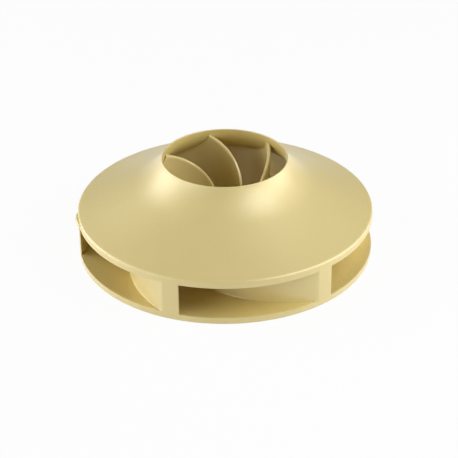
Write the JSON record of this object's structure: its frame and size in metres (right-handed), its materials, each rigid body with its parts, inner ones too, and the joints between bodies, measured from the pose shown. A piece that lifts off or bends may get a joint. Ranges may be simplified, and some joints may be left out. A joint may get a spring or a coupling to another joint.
{
  "type": "pump impeller",
  "caption": "Closed radial pump impeller, cast in one piece: backward-curved blades between a flat disc and a trumpet-shaped shroud with an open eye, on a keyed shaft bore.",
  "frame": {"origin": "centre of the shaft bore at the flat back face of the disc", "axes": "+Z along the shaft axis towards the suction eye; +X and +Y across the shaft, with the keyway at +X"},
  "size_m": [0.2109, 0.21, 0.07],
  "materials": {
    "cast_bronze": "matte, as cast and shot-blasted, rim turned"
  },
  "bodies": {
    "root": {"impeller": "cast_bronze"}
  },
  "joints": []
}
